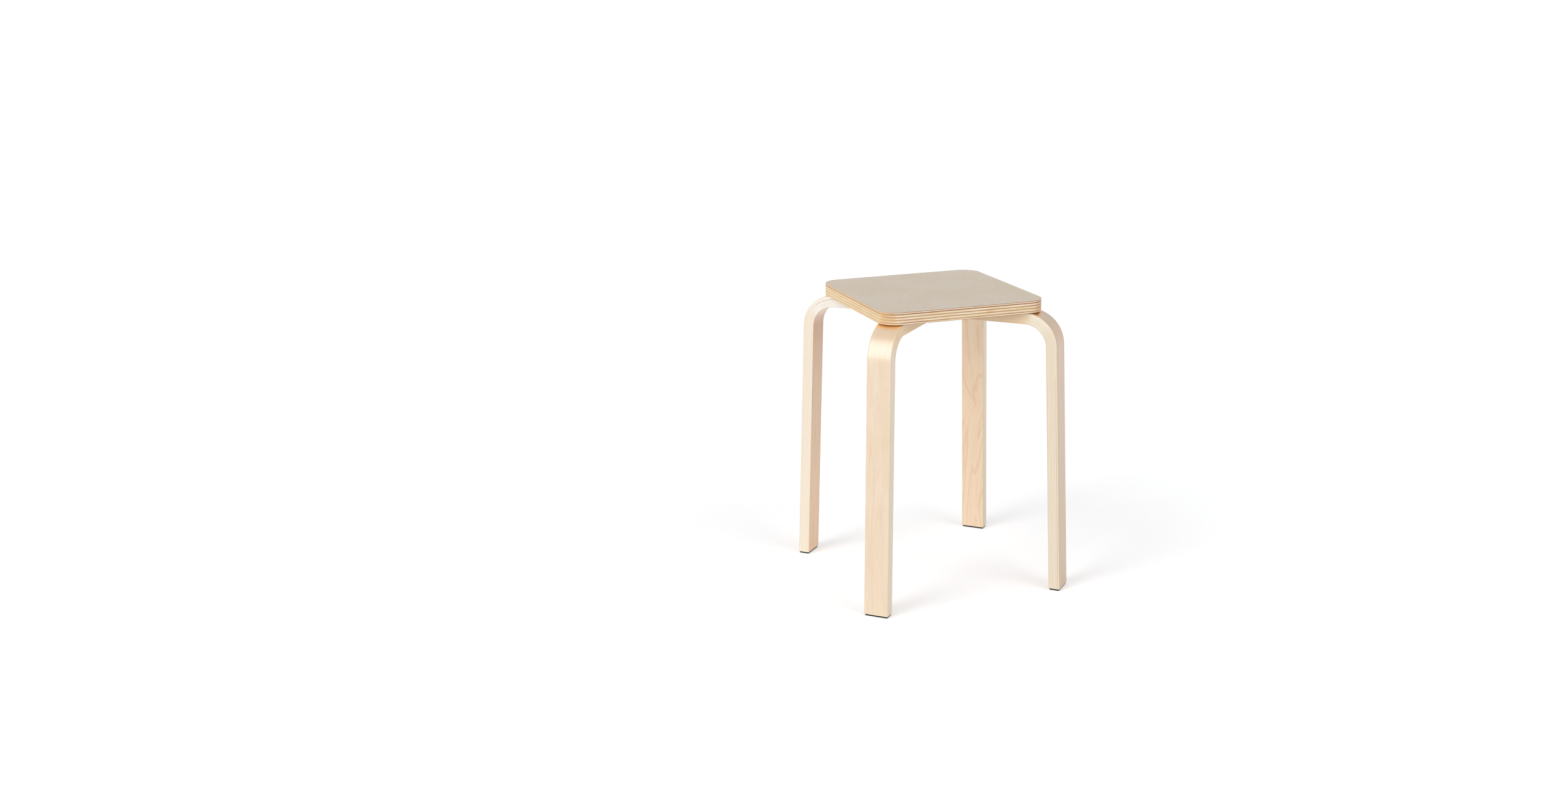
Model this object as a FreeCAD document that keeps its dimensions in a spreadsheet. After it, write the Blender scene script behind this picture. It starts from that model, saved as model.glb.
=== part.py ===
import FreeCAD, Part
import math
import os
import Sketcher

# A stacking stool: a square plywood seat with round corners on four bent laminated legs.
# Millimetres. The origin is on the floor under the middle of the seat, +Z up. The seat's edges
# lie along X and Y, each leg lies in the upright plane through one corner of the seat, and the
# front is the -Y side. "Reach" is a distance from the stool's upright axis towards a corner.

SIZES = (
    ("overall_height", 450, "floor to the top of the seat"),
    ("seat_width", 264, "seat, edge to edge, both ways"),
    ("seat_corner_radius", 28, "round corner of the seat in plan"),
    ("core_thickness", 17.4, "plywood board of the seat"),
    ("top_sheet_thickness", 0.8, "hard-wearing sheet on the seat"),
    ("top_sheet_arris", 0.3, "eased upper edge of that sheet"),
    ("backing_sheet_thickness", 0.6, "balancing sheet under the board"),
    ("leg_width", 38, "leg, across its broad face"),
    ("leg_thickness", 18, "leg, through its veneers"),
    ("leg_bend_radius", 52, "outer face of the bend under the seat"),
    ("leg_splay_angle", 1.85, "degrees that a leg leans out towards the floor"),
    ("leg_overhang", 45.3, "outer face at the foot, past the seat's corner"),
    ("leg_edge_chamfer", 1.0, "eased long edges of a leg"),
    ("leg_end_chamfer", 0.5, "eased edges round its foot and round the end of its arm"),
    ("pad_thickness", 2.5, "foot pad"),
    ("pad_inset", 1.2, "foot pad, in from the sides of the leg's end"),
    ("pad_corner_radius", 1.5, "foot pad, round corner in plan"),
    ("bolt_diameter", 6, "thread, over its crests"),
    ("bolt_head_diameter", 15, "wide flat head"),
    ("bolt_head_height", 3, "thickness of that head"),
    ("bolt_socket_width", 4, "hexagon socket, across flats"),
    ("bolt_socket_depth", 2, "hexagon socket"),
    ("bolt_head_recess", 2, "head, sunk below the face of the arm"),
    ("bolt_head_clearance", 0.75, "round the head in its counterbore"),
    ("bolt_shank_clearance", 0.3, "round the shank in the arm"),
    ("bolt_pitch", 48, "from bolt to bolt along an arm"),
    ("bolt_bend_distance", 20, "outermost bolt, in from the start of the bend"),
    ("bolt_end_distance", 20, "innermost bolt to the end of the arm"),
    ("bolt_setback", 0.3, "bolt's end, short of the insert's end"),
    ("insert_width", 10, "threaded insert, across the flats of its hexagon body"),
    ("insert_length", 12, "threaded insert"),
    ("insert_thread_clearance", 0.05, "round the bolt in the insert"),
    ("insert_recess", 0.3, "insert, sunk below the underside of the seat"),
    ("insert_hole_spare", 1.2, "hole, past the end of the insert"),
)
BOLTS_PER_LEG = 2
CORNERS = (
    ("back_right", 45),
    ("back_left", 135),
    ("front_left", 225),
    ("front_right", 315),
)

doc = FreeCAD.newDocument("stacking_stool")
sheet = doc.addObject("Spreadsheet::Sheet", "sizes")
for row, (alias, size, meaning) in enumerate(SIZES, start=1):
    sheet.set(f"A{row}", meaning)
    sheet.set(f"B{row}", str(size))
    sheet.setAlias(f"B{row}", alias)
doc.recompute()

# Heights and reaches that follow from the sizes, as expressions of the sheet.
TOP_SHEET_Z = "(sizes.overall_height - sizes.top_sheet_thickness)"
CORE_Z = f"({TOP_SHEET_Z} - sizes.core_thickness)"
SEAT_UNDERSIDE_Z = f"({CORE_Z} - sizes.backing_sheet_thickness)"
ARM_UNDERSIDE_Z = f"({SEAT_UNDERSIDE_Z} - sizes.leg_thickness)"
SPLAY = "(sizes.leg_splay_angle * 1 deg)"
SEAT_CORNER_REACH = (
    "((sizes.seat_width / 2 - sizes.seat_corner_radius) * sqrt(2) + sizes.seat_corner_radius)"
)
FOOT_REACH = f"({SEAT_CORNER_REACH} + sizes.leg_overhang)"
FOOT_DEPTH = f"(sizes.leg_thickness / cos({SPLAY}))"
BEND_CENTRE_Z = f"({SEAT_UNDERSIDE_Z} - sizes.leg_bend_radius)"
BEND_CENTRE_REACH = (
    f"({FOOT_REACH} - ({BEND_CENTRE_Z} - sizes.pad_thickness) * tan({SPLAY})"
    f" - sizes.leg_bend_radius / cos({SPLAY}))"
)
OUTER_BOLT_REACH = f"({BEND_CENTRE_REACH} - sizes.bolt_bend_distance)"
BOLT_REACHES = [f"({OUTER_BOLT_REACH} - {place} * sizes.bolt_pitch)" for place in range(BOLTS_PER_LEG)]
ARM_END_REACH = f"({BOLT_REACHES[-1]} - sizes.bolt_end_distance)"
HEAD_SEAT_DEPTH = "(sizes.bolt_head_height + sizes.bolt_head_recess)"
SHANK_LENGTH = (
    f"(sizes.leg_thickness - {HEAD_SEAT_DEPTH}"
    " + sizes.insert_recess + sizes.insert_length - sizes.bolt_setback)"
)
INSERT_HOLE_DEPTH = "(sizes.insert_recess + sizes.insert_length + sizes.insert_hole_spare)"

parts = []


def number(expression):
    """The value of an expression, in millimetres or degrees."""
    found = sheet.evalExpression(expression)
    return float(getattr(found, "Value", found))


def new_body(label):
    body = doc.addObject("PartDesign::Body", label)
    body.Label = label
    parts.append(body)
    return body


def origin_feature(body, role):
    return next(feature for feature in body.Origin.OriginFeatures if feature.Role == role)


def new_sketch(body, name, role, height="0 mm", turn=0):
    """A sketch on one of the body's own planes, raised by height and turned about its normal."""
    sketch = body.newObject("Sketcher::SketchObject", name)
    sketch.AttachmentSupport = (origin_feature(body, role), [""])
    sketch.MapMode = "FlatFace"
    sketch.AttachmentOffset = FreeCAD.Placement(
        FreeCAD.Vector(0, 0, number(height)), FreeCAD.Rotation(turn, 0, 0)
    )
    sketch.setExpression("AttachmentOffset.Base.z", height)
    return sketch


def dimension(sketch, name, expression, kind, *where):
    """A dimension of the sketch, bound to an expression."""
    size = number(expression)
    if kind == "Angle":
        size = math.radians(size)
    index = sketch.addConstraint(Sketcher.Constraint(kind, *where, size))
    sketch.renameConstraint(index, name)
    sketch.setExpression("Constraints." + name, expression)


def relate(sketch, kind, *where):
    sketch.addConstraint(Sketcher.Constraint(kind, *where))


def line(sketch, start, end):
    return sketch.addGeometry(Part.LineSegment(FreeCAD.Vector(*start, 0), FreeCAD.Vector(*end, 0)))


def arc(sketch, centre, radius, start_degrees, end_degrees):
    circle = Part.Circle(FreeCAD.Vector(*centre, 0), FreeCAD.Vector(0, 0, 1), radius)
    return sketch.addGeometry(
        Part.ArcOfCircle(circle, math.radians(start_degrees), math.radians(end_degrees))
    )


def rounded_rectangle(sketch, width, depth, radius):
    """A rectangle with round corners about the sketch's origin."""
    corner = number(radius)
    x = number(width) / 2 - corner
    y = number(depth) / 2 - corner
    centres = ((x, y), (-x, y), (-x, -y), (x, -y))
    starts = ((x, y + corner), (-x - corner, y), (-x, -y - corner), (x + corner, -y))
    ends = ((-x, y + corner), (-x - corner, -y), (x, -y - corner), (x + corner, y))
    arcs = [arc(sketch, centre, corner, 90 * k, 90 * k + 90) for k, centre in enumerate(centres)]
    sides = [line(sketch, start, end) for start, end in zip(starts, ends)]
    for k, side in enumerate(sides):
        relate(sketch, "Tangent", arcs[k], 2, side, 1)
        relate(sketch, "Tangent", side, 2, arcs[(k + 1) % 4], 1)
        relate(sketch, "Vertical" if k % 2 else "Horizontal", side)
    for other in arcs[1:]:
        relate(sketch, "Equal", arcs[0], other)
    relate(sketch, "Symmetric", arcs[0], 3, arcs[2], 3, -1, 1)
    dimension(sketch, "width", width, "DistanceX", sides[1], 1, sides[3], 1)
    dimension(sketch, "depth", depth, "DistanceY", sides[2], 1, sides[0], 1)
    dimension(sketch, "corner", radius, "Radius", arcs[0])


def outline(sketch, corners):
    """A closed outline of straight lines through corners given as expressions. A 0 is on the axis."""
    places = [(number(x), number(y)) for x, y in corners]
    sides = [line(sketch, places[k], places[(k + 1) % len(places)]) for k in range(len(places))]
    for k, side in enumerate(sides):
        relate(sketch, "Coincident", side, 2, sides[(k + 1) % len(sides)], 1)
        x, y = corners[k]
        if x == "0":
            relate(sketch, "PointOnObject", side, 1, -2)
        else:
            dimension(sketch, f"x{k}", x, "DistanceX", -1, 1, side, 1)
        if y == "0":
            relate(sketch, "PointOnObject", side, 1, -1)
        else:
            dimension(sketch, f"y{k}", y, "DistanceY", -1, 1, side, 1)


def hexagon(sketch, across_flats, reach=None, name="rim"):
    """A regular hexagon on the sketch's first axis, a corner pointing along it."""
    radius = number(across_flats) / math.sqrt(3)
    centre = (number(reach) if reach else 0, 0)
    circle = Part.Circle(FreeCAD.Vector(*centre, 0), FreeCAD.Vector(0, 0, 1), radius)
    rim = sketch.addGeometry(circle, True)
    angles = [math.radians(60 * k) for k in range(7)]
    places = [(centre[0] + radius * math.cos(angle), radius * math.sin(angle)) for angle in angles]
    sides = [line(sketch, places[k], places[k + 1]) for k in range(6)]
    if reach:
        relate(sketch, "PointOnObject", rim, 3, -1)
        dimension(sketch, name + "_reach", reach, "DistanceX", -1, 1, rim, 3)
    else:
        relate(sketch, "Coincident", rim, 3, -1, 1)
    for k, side in enumerate(sides):
        relate(sketch, "Coincident", side, 2, sides[(k + 1) % 6], 1)
        relate(sketch, "PointOnObject", side, 1, rim)
        if k:
            relate(sketch, "Equal", sides[0], side)
    relate(sketch, "PointOnObject", sides[0], 1, -1)
    dimension(sketch, name, f"{across_flats} / sqrt(3)", "Radius", rim)


def hexagon_area(across_flats):
    return number(across_flats) ** 2 * math.sqrt(3) / 2


def bolt_row(sketch, radius):
    """One circle for each bolt of an arm, along the sketch's first axis."""
    for place, reach in enumerate(BOLT_REACHES):
        centre = FreeCAD.Vector(number(reach), 0, 0)
        circle = sketch.addGeometry(Part.Circle(centre, FreeCAD.Vector(0, 0, 1), number(radius)))
        relate(sketch, "PointOnObject", circle, 3, -1)
        dimension(sketch, f"reach{place}", reach, "DistanceX", -1, 1, circle, 3)
        dimension(sketch, f"radius{place}", radius, "Radius", circle)


def pad(body, name, sketch, length, symmetric=False):
    feature = body.newObject("PartDesign::Pad", name)
    feature.Profile = sketch
    if symmetric:
        feature.SideType = "Symmetric"
    feature.setExpression("Length", length)
    doc.recompute()
    return feature


def pocket(body, name, sketch, depth, expected_area):
    """Cuts the sketch upwards by depth, and compares what went with the sketch's own area."""
    before = body.Shape.Volume
    feature = body.newObject("PartDesign::Pocket", name)
    feature.Profile = sketch
    feature.Reversed = True
    feature.setExpression("Length", depth)
    doc.recompute()
    gone = before - body.Shape.Volume
    if abs(gone - expected_area * number(depth)) > 0.01 * gone:
        raise RuntimeError(f"{body.Label}: {name} cut {gone:.1f} cubic millimetres")
    return feature


def bolt_row_area(radius):
    return BOLTS_PER_LEG * math.pi * number(radius) ** 2


def chamfer(body, name, base, edges, size):
    feature = body.newObject("PartDesign::Chamfer", name)
    feature.Base = (base, edges)
    feature.setExpression("Size", size)
    doc.recompute()
    return feature


def place(body, degrees, reach, height):
    """Turns a body to a corner of the seat and puts its origin at a reach and a height there."""
    body.Placement.Rotation = FreeCAD.Rotation(degrees, 0, 0)
    body.setExpression("Placement.Base.x", f"{reach} * cos({degrees} deg)")
    body.setExpression("Placement.Base.y", f"{reach} * sin({degrees} deg)")
    body.setExpression("Placement.Base.z", height)


def seat_layer(label, height, thickness):
    """One flat layer of the seat: its plan is the same in all of them."""
    body = new_body(label)
    plan = new_sketch(body, label + "_plan", "XY_Plane", height)
    rounded_rectangle(plan, "sizes.seat_width", "sizes.seat_width", "sizes.seat_corner_radius")
    return body, pad(body, label + "_layer", plan, thickness)


def all_round(body, name, feature):
    """Repeats a feature at the four corners of the seat."""
    pattern = body.newObject("PartDesign::PolarPattern", name)
    pattern.Originals = [feature]
    pattern.Axis = (origin_feature(body, "Z_Axis"), [""])
    pattern.Angle = 360
    pattern.Occurrences = len(CORNERS)
    body.Tip = pattern
    doc.recompute()


def insert_holes(body, height, depth):
    """Holes that fit the threaded inserts, from below, in a row over each arm."""
    row = new_sketch(body, body.Label + "_hole_row", "XY_Plane", height, CORNERS[0][1])
    for place_in_row, reach in enumerate(BOLT_REACHES):
        hexagon(row, "sizes.insert_width", reach, f"hole{place_in_row}")
    area = BOLTS_PER_LEG * hexagon_area("sizes.insert_width")
    holes = pocket(body, body.Label + "_holes", row, depth, area)
    all_round(body, body.Label + "_hole_rows", holes)


def make_seat():
    sheet_body, layer = seat_layer("seat_top_sheet", TOP_SHEET_Z, "sizes.top_sheet_thickness")
    top = number("sizes.overall_height")
    rim = [
        f"Edge{k}"
        for k, edge in enumerate(layer.Shape.Edges, start=1)
        if all(abs(vertex.Z - top) < 0.001 for vertex in edge.Vertexes)
    ]
    chamfer(sheet_body, "seat_top_sheet_rim", layer, rim, "sizes.top_sheet_arris")
    board, _ = seat_layer("seat_board", CORE_Z, "sizes.core_thickness")
    insert_holes(board, CORE_Z, f"({INSERT_HOLE_DEPTH} - sizes.backing_sheet_thickness)")
    backing, _ = seat_layer("seat_backing_sheet", SEAT_UNDERSIDE_Z, "sizes.backing_sheet_thickness")
    insert_holes(backing, SEAT_UNDERSIDE_Z, "sizes.backing_sheet_thickness")


def leg_profile(sketch):
    """The side of a bent leg: upright with a small splay, one bend, and a flat arm under the seat."""
    thickness = number("sizes.leg_thickness")
    outer_radius = number("sizes.leg_bend_radius")
    splay = number(SPLAY)
    centre = (number(BEND_CENTRE_REACH), number(BEND_CENTRE_Z))
    towards_outside = (math.cos(math.radians(splay)), math.sin(math.radians(splay)))
    outer_start = [c + outer_radius * n for c, n in zip(centre, towards_outside)]
    inner_start = [c + (outer_radius - thickness) * n for c, n in zip(centre, towards_outside)]
    arm_end = number(ARM_END_REACH)
    arm_top = number(SEAT_UNDERSIDE_Z)
    foot = number("sizes.pad_thickness")
    foot_outside = (number(FOOT_REACH), foot)
    foot_inside = (number(FOOT_REACH) - number(FOOT_DEPTH), foot)

    outer_face = line(sketch, foot_outside, outer_start)
    outer_bend = arc(sketch, centre, outer_radius, splay, 90)
    arm_upper = line(sketch, (centre[0], arm_top), (arm_end, arm_top))
    arm_tip = line(sketch, (arm_end, arm_top), (arm_end, arm_top - thickness))
    arm_lower = line(sketch, (arm_end, arm_top - thickness), (centre[0], arm_top - thickness))
    inner_bend = arc(sketch, centre, outer_radius - thickness, splay, 90)
    inner_face = line(sketch, inner_start, foot_inside)
    foot_end = line(sketch, foot_inside, foot_outside)

    relate(sketch, "Tangent", outer_face, 2, outer_bend, 1)
    relate(sketch, "Tangent", outer_bend, 2, arm_upper, 1)
    relate(sketch, "Coincident", arm_upper, 2, arm_tip, 1)
    relate(sketch, "Coincident", arm_tip, 2, arm_lower, 1)
    relate(sketch, "Tangent", arm_lower, 2, inner_bend, 2)
    relate(sketch, "Tangent", inner_bend, 1, inner_face, 1)
    relate(sketch, "Coincident", inner_face, 2, foot_end, 1)
    relate(sketch, "Coincident", foot_end, 2, outer_face, 1)
    relate(sketch, "Coincident", outer_bend, 3, inner_bend, 3)
    relate(sketch, "Parallel", outer_face, inner_face)
    for level in (arm_upper, arm_lower, foot_end):
        relate(sketch, "Horizontal", level)
    relate(sketch, "Vertical", arm_tip)
    dimension(sketch, "bend", "sizes.leg_bend_radius", "Radius", outer_bend)
    dimension(sketch, "inner", "sizes.leg_bend_radius - sizes.leg_thickness", "Radius", inner_bend)
    dimension(sketch, "lean", f"90 deg + {SPLAY}", "Angle", outer_face)
    dimension(sketch, "foot_reach", FOOT_REACH, "DistanceX", -1, 1, outer_face, 1)
    dimension(sketch, "foot_height", "sizes.pad_thickness", "DistanceY", -1, 1, outer_face, 1)
    dimension(sketch, "arm_reach", ARM_END_REACH, "DistanceX", -1, 1, arm_tip, 1)
    dimension(sketch, "arm_height", SEAT_UNDERSIDE_Z, "DistanceY", -1, 1, arm_tip, 1)


def end_edges(shape):
    """The edges round the foot of a leg and round the end of its arm."""
    foot = number("sizes.pad_thickness")
    arm_end = number(ARM_END_REACH)
    names = []
    for k, edge in enumerate(shape.Edges, start=1):
        corners = [vertex.Point for vertex in edge.Vertexes]
        round_foot = all(abs(corner.z - foot) < 0.001 for corner in corners)
        round_arm_end = all(abs(corner.x - arm_end) < 0.001 for corner in corners)
        if round_foot or round_arm_end:
            names.append(f"Edge{k}")
    return names


def long_edges(shape):
    """The edges along both sides of a leg, from its foot to the end of its arm."""
    side = number("sizes.leg_width") / 2
    ends = end_edges(shape)
    names = []
    for k, edge in enumerate(shape.Edges, start=1):
        name = f"Edge{k}"
        on_a_side = abs(abs(edge.CenterOfMass.y) - side) < 0.001
        if on_a_side and name not in ends:
            names.append(name)
    return names


def make_leg(corner, degrees):
    label = corner + "_leg"
    body = new_body(label)
    profile = new_sketch(body, label + "_profile", "XZ_Plane")
    leg_profile(profile)
    blank = pad(body, label + "_blank", profile, "sizes.leg_width", symmetric=True)
    along = long_edges(blank.Shape)
    eased = chamfer(body, label + "_long_edges", blank, along, "sizes.leg_edge_chamfer")
    chamfer(body, label + "_end_edges", eased, end_edges(eased.Shape), "sizes.leg_end_chamfer")
    head_radius = "(sizes.bolt_head_diameter / 2 + sizes.bolt_head_clearance)"
    shank_radius = "(sizes.bolt_diameter / 2 + sizes.bolt_shank_clearance)"
    heads = new_sketch(body, label + "_head_row", "XY_Plane", ARM_UNDERSIDE_Z)
    bolt_row(heads, head_radius)
    pocket(body, label + "_head_seats", heads, HEAD_SEAT_DEPTH, bolt_row_area(head_radius))
    head_seat_z = f"({ARM_UNDERSIDE_Z} + {HEAD_SEAT_DEPTH})"
    shanks = new_sketch(body, label + "_shank_row", "XY_Plane", head_seat_z)
    bolt_row(shanks, shank_radius)
    rest = f"(sizes.leg_thickness - {HEAD_SEAT_DEPTH})"
    pocket(body, label + "_shank_holes", shanks, rest, bolt_row_area(shank_radius))
    place(body, degrees, "0 mm", "0 mm")


def make_foot_pad(corner, degrees):
    label = corner + "_foot_pad"
    body = new_body(label)
    plan = new_sketch(body, label + "_plan", "XY_Plane")
    depth = f"({FOOT_DEPTH} - 2 * sizes.pad_inset)"
    width = "(sizes.leg_width - 2 * sizes.pad_inset)"
    rounded_rectangle(plan, depth, width, "sizes.pad_corner_radius")
    pad(body, label + "_layer", plan, "sizes.pad_thickness")
    place(body, degrees, f"({FOOT_REACH} - {FOOT_DEPTH} / 2)", "0 mm")


def make_bolt(label, degrees, reach):
    """A wide-headed bolt, head down: its origin is at the middle of the head's outer face."""
    body = new_body(label)
    half = new_sketch(body, label + "_half", "XZ_Plane")
    head = "sizes.bolt_head_diameter / 2"
    shank = "sizes.bolt_diameter / 2"
    under_head = "sizes.bolt_head_height"
    end = f"sizes.bolt_head_height + {SHANK_LENGTH}"
    outline(
        half,
        (
            ("0", "0"),
            (head, "0"),
            (head, under_head),
            (shank, under_head),
            (shank, end),
            ("0", end),
        ),
    )
    turned = body.newObject("PartDesign::Revolution", label + "_turned")
    turned.Profile = half
    turned.ReferenceAxis = (half, ["V_Axis"])
    turned.Angle = 360
    doc.recompute()
    socket = new_sketch(body, label + "_socket_plan", "XY_Plane")
    hexagon(socket, "sizes.bolt_socket_width")
    area = hexagon_area("sizes.bolt_socket_width")
    pocket(body, label + "_socket", socket, "sizes.bolt_socket_depth", area)
    place(body, degrees, reach, f"{ARM_UNDERSIDE_Z} + sizes.bolt_head_recess")


def make_insert(label, degrees, reach):
    """A threaded insert with a hexagon body: its origin is at the middle of its mouth."""
    body = new_body(label)
    plan = new_sketch(body, label + "_plan", "XY_Plane")
    hexagon(plan, "sizes.insert_width")
    bore_radius = "(sizes.bolt_diameter / 2 + sizes.insert_thread_clearance)"
    bore = plan.addGeometry(
        Part.Circle(FreeCAD.Vector(), FreeCAD.Vector(0, 0, 1), number(bore_radius))
    )
    relate(plan, "Coincident", bore, 3, -1, 1)
    dimension(plan, "bore", bore_radius, "Radius", bore)
    pad(body, label + "_body", plan, "sizes.insert_length")
    place(body, degrees, reach, f"{SEAT_UNDERSIDE_Z} + sizes.insert_recess")


def check_model():
    """Stops before anything is written if a feature failed or a shape is not sound."""
    for item in doc.Objects:
        if "Invalid" in item.State or "Error" in item.State:
            raise RuntimeError(f"{item.Label} failed: {item.State}")
    for body in parts:
        if body.Shape.isNull() or not body.Shape.isValid() or body.Shape.Volume <= 0:
            raise RuntimeError(f"{body.Label} has no sound shape")


make_seat()
for corner, degrees in CORNERS:
    make_leg(corner, degrees)
    make_foot_pad(corner, degrees)
    for place_in_row, reach in enumerate(BOLT_REACHES, start=1):
        make_bolt(f"{corner}_bolt_{place_in_row}", degrees, reach)
        make_insert(f"{corner}_insert_{place_in_row}", degrees, reach)
doc.recompute()
check_model()
os.makedirs("parts", exist_ok=True)
for body in parts:
    body.Shape.exportStep(f"parts/{body.Label}.step")
print(f"{len(parts)} parts written")
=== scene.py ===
import math

import bmesh
import bpy
from mathutils import Matrix, Vector


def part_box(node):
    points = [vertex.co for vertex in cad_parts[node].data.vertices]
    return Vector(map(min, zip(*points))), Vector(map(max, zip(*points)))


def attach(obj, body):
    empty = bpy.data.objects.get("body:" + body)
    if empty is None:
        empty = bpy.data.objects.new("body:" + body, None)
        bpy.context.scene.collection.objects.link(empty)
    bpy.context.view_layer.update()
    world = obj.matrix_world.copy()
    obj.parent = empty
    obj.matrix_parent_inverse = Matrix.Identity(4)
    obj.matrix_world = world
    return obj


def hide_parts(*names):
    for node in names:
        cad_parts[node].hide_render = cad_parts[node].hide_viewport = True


# A stacking stool: a square plywood seat with round corners on four bent laminated legs.
# Metres, +Z up, the origin on the floor under the middle of the seat. "Reach" is a distance
# from the stool's upright axis towards a corner of the seat. A leg is built in the upright
# plane of its own corner, as (reach, across, height), and then turned to that corner.

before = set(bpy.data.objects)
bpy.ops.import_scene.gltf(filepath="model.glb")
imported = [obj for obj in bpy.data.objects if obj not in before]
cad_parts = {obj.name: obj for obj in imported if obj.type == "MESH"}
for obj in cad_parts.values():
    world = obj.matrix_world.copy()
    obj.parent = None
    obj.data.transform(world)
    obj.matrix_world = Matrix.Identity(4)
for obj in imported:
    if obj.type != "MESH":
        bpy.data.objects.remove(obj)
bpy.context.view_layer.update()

MM = 0.001

# The seat's layers, from the frame.
SHEET_LOW, SHEET_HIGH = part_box("seat_top_sheet")
BOARD_LOW, BOARD_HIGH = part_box("seat_board")
BACKING_LOW, BACKING_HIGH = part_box("seat_backing_sheet")
SEAT_HALF_WIDTH = BOARD_HIGH.x
SEAT_CORNER_RADIUS = 28 * MM
SHEET_ARRIS = 0.3 * MM
BACKING_ARRIS = 0.25 * MM
HIDDEN_ARRIS = 0.05 * MM
CORNER_STEPS = 24
INSERT_WIDTH = 10 * MM
INSERT_HOLE_DEPTH = 13.5 * MM
INNER_PLIES = 7
INNER_PLY = 2.1 * MM
FACE_PLY = (BOARD_HIGH.z - BOARD_LOW.z - INNER_PLIES * INNER_PLY) / 2

# Meshes: into how many steps a rounding and a circle are cut, how far a flat goes on beside a
# rounding before the next face, how far a cutter stands past what it cuts, the shortest edge
# that is kept, and the angle from which an edge is shaded sharp.
EDGE_STEPS = 7
ROUND_STEPS = 64
HEXAGON = 6
SUPPORT = 0.4 * MM
CUTTER_PAST = 1 * MM
SHORTEST_EDGE = 0.003 * MM
SHARP_ANGLE = math.radians(38)

# The legs.
CORNERS = {"front_left": 225, "front_right": 315, "back_left": 135, "back_right": 45}
LEG_WIDTH = 38 * MM
LEG_THICKNESS = 18 * MM
LEG_BEND_RADIUS = 52 * MM
LEG_SPLAY = math.radians(1.85)
LEG_EDGE_RADIUS = 1.7 * MM
LEG_END_RADIUS = 0.8 * MM
LEG_BEND_STEPS = 48
VENEERS = 12
VENEER = LEG_THICKNESS / VENEERS
BOLTS_PER_LEG = 2
ARM_PAST_BOLT = 20 * MM

# The wood's figure: how far the grain wanders sideways and the layers in depth, over what length
# a glue line fades out, its colour, and the tint of the painted warm shade right under the seat's
# rim.
GRAIN_WANDER = 5 * MM
LAYER_WAVER = 0.25 * MM
LINE_FADE = 24 * MM
GLUE_COLOUR = (150, 102, 66)
WARM_SHADE_TINT = (1.3, 0.88, 0.43)


def reach_of(node):
    """How far a node's middle is from the stool's upright axis."""
    low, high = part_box(node)
    middle = (low + high) / 2
    return math.hypot(middle.x, middle.y)


PAD_LOW, PAD_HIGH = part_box("front_left_foot_pad")
FOOT_Z = PAD_HIGH.z
FOOT_DEPTH = LEG_THICKNESS / math.cos(LEG_SPLAY)
FOOT_REACH = reach_of("front_left_foot_pad") + FOOT_DEPTH / 2
ARM_TOP_Z = BACKING_LOW.z
ARM_UNDERSIDE_Z = ARM_TOP_Z - LEG_THICKNESS
BEND_Z = ARM_TOP_Z - LEG_BEND_RADIUS
BEND_REACH = (
    FOOT_REACH - (BEND_Z - FOOT_Z) * math.tan(LEG_SPLAY) - LEG_BEND_RADIUS / math.cos(LEG_SPLAY)
)
MIDDLE_RADIUS = LEG_BEND_RADIUS - LEG_THICKNESS / 2
BOLT_REACHES = [reach_of(f"front_left_bolt_{place}") for place in range(1, BOLTS_PER_LEG + 1)]
ARM_LENGTH = BEND_REACH - BOLT_REACHES[-1] + ARM_PAST_BOLT
UPRIGHT_LENGTH = (BEND_Z + MIDDLE_RADIUS * math.sin(LEG_SPLAY) - FOOT_Z) / math.cos(LEG_SPLAY)
BEND_LENGTH = MIDDLE_RADIUS * (math.pi / 2 - LEG_SPLAY)
BEND_END = UPRIGHT_LENGTH + BEND_LENGTH
SEAT_CORNER_REACH = (SEAT_HALF_WIDTH - SEAT_CORNER_RADIUS) * math.sqrt(2) + SEAT_CORNER_RADIUS
SEAT_RIM_TURN = math.acos((SEAT_CORNER_REACH - BEND_REACH) / LEG_BEND_RADIUS)
SEAT_RIM_ALONG = UPRIGHT_LENGTH + MIDDLE_RADIUS * (SEAT_RIM_TURN - LEG_SPLAY)

# The pads, bolts and their holes.
PAD_INSET = 1.2 * MM
PAD_CORNER_RADIUS = 1.5 * MM
PAD_CORNER_STEPS = 8
PAD_LOW_ARRIS = 0.4 * MM
PAD_HIGH_ARRIS = 0.2 * MM
BOLT_LOW, BOLT_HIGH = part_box("front_left_bolt_1")
BOLT_HEAD_RADIUS = 7.5 * MM
BOLT_HEAD_HEIGHT = 3 * MM
BOLT_RIM_RADIUS = 0.8 * MM
BOLT_HEAD_ARRIS = 0.2 * MM
BOLT_SHANK_RADIUS = 3 * MM
SOCKET_WIDTH = 4 * MM
SOCKET_DEPTH = 2 * MM
SOCKET_ARRIS = 0.3 * MM
SOCKET_POINT_DEPTH = 0.8 * MM
SOCKET_POINT_RADIUS = 0.4 * MM
THREAD_PITCH = 1 * MM
THREAD_DEPTH = 0.55 * MM
THREAD_CREST = (0.45 * THREAD_PITCH, 0.55 * THREAD_PITCH)
THREAD_END = 0.3 * THREAD_PITCH
COUNTERBORE_RADIUS = 8.25 * MM
COUNTERBORE_DEPTH = 5 * MM
COUNTERBORE_ARRIS = 0.35 * MM
SHANK_HOLE_RADIUS = 3.3 * MM

# The camera: where the photograph was taken from, and its focal length in pixels.
PHOTO_WIDTH = 2576
FOCAL_PIXELS = 2799.87
VIEW_CENTRE_PIXELS = (162.05, -153.41)
CAMERA_PLACE = (-1.04437, -2.33736, 0.97587)
CAMERA_TURN = math.radians(-22.411)
CAMERA_DIP = math.radians(12.141)
SENSOR_WIDTH_MM = 36
NEAREST_SEEN = 0.05
FARTHEST_SEEN = 60

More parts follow.
